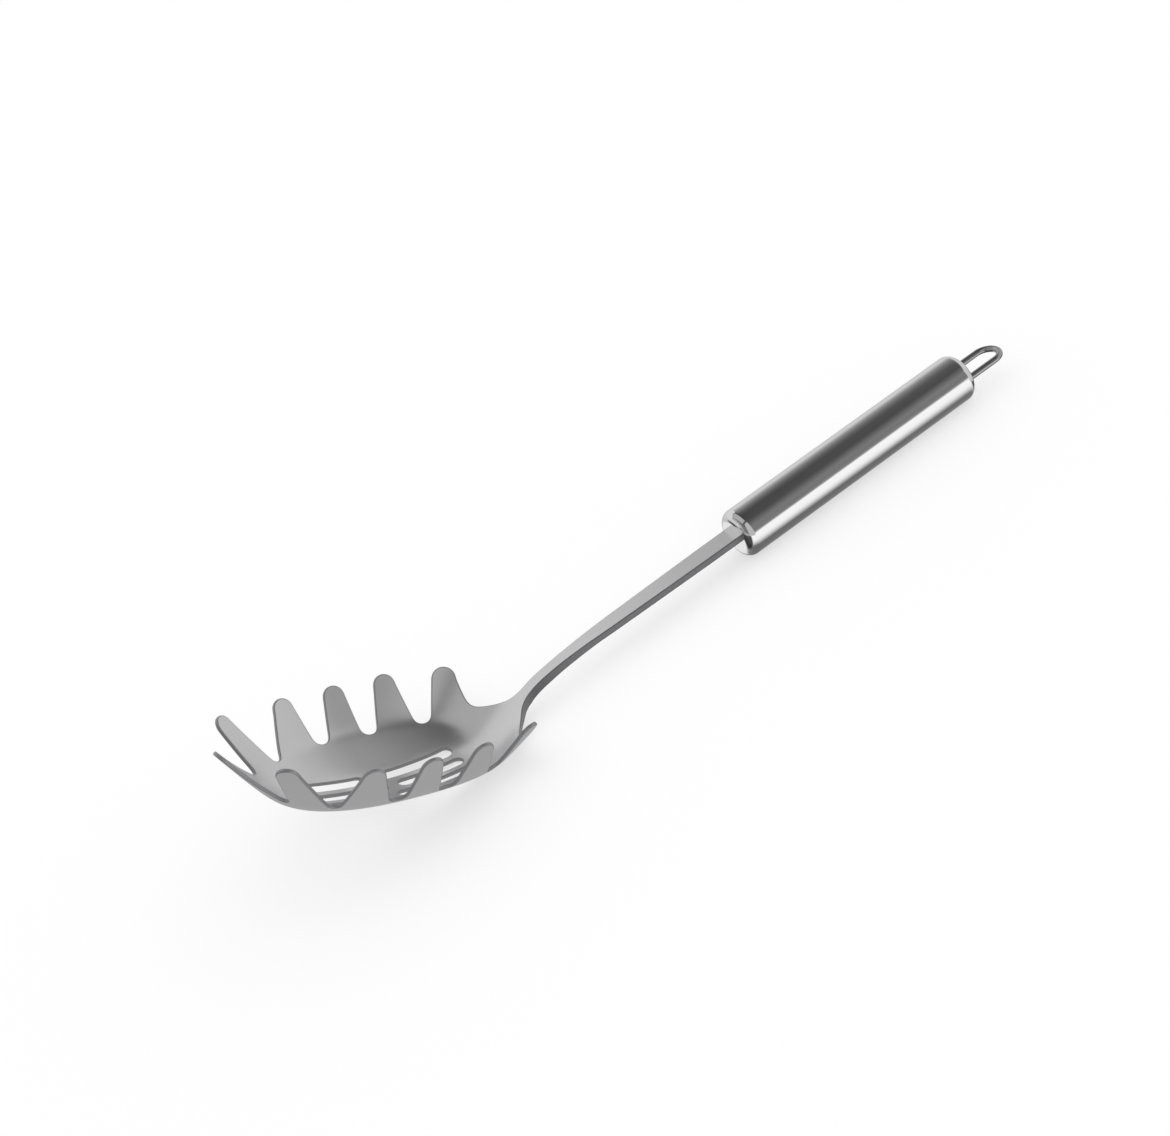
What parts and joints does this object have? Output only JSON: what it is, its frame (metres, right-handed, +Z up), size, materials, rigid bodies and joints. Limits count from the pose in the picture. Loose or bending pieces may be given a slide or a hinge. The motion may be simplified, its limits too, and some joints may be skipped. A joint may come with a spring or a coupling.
{
  "type": "pasta server",
  "caption": "Stainless steel pasta server: an oval slotted bowl with upright teeth round its rim, on a bent strap set in a round tubular handle with a wire hanging loop.",
  "frame": {"origin": "centre of the bounding box on the table, with the server lying on the heel of its bowl and the back end of its handle", "axes": "+X along the handle from the bowl to the hanging loop, +Z up, the object is mirrored in the XZ plane"},
  "size_m": [0.321, 0.071, 0.0575],
  "materials": {
    "satin_steel": "satin, fine grain",
    "polished_steel": "mirror polished",
    "loop_wire": "polished wire"
  },
  "bodies": {
    "root": {"pressed_head": "satin_steel", "handle_tube": "polished_steel", "front_cap": "polished_steel", "back_cap": "polished_steel", "hanging_loop": "loop_wire"}
  },
  "joints": []
}
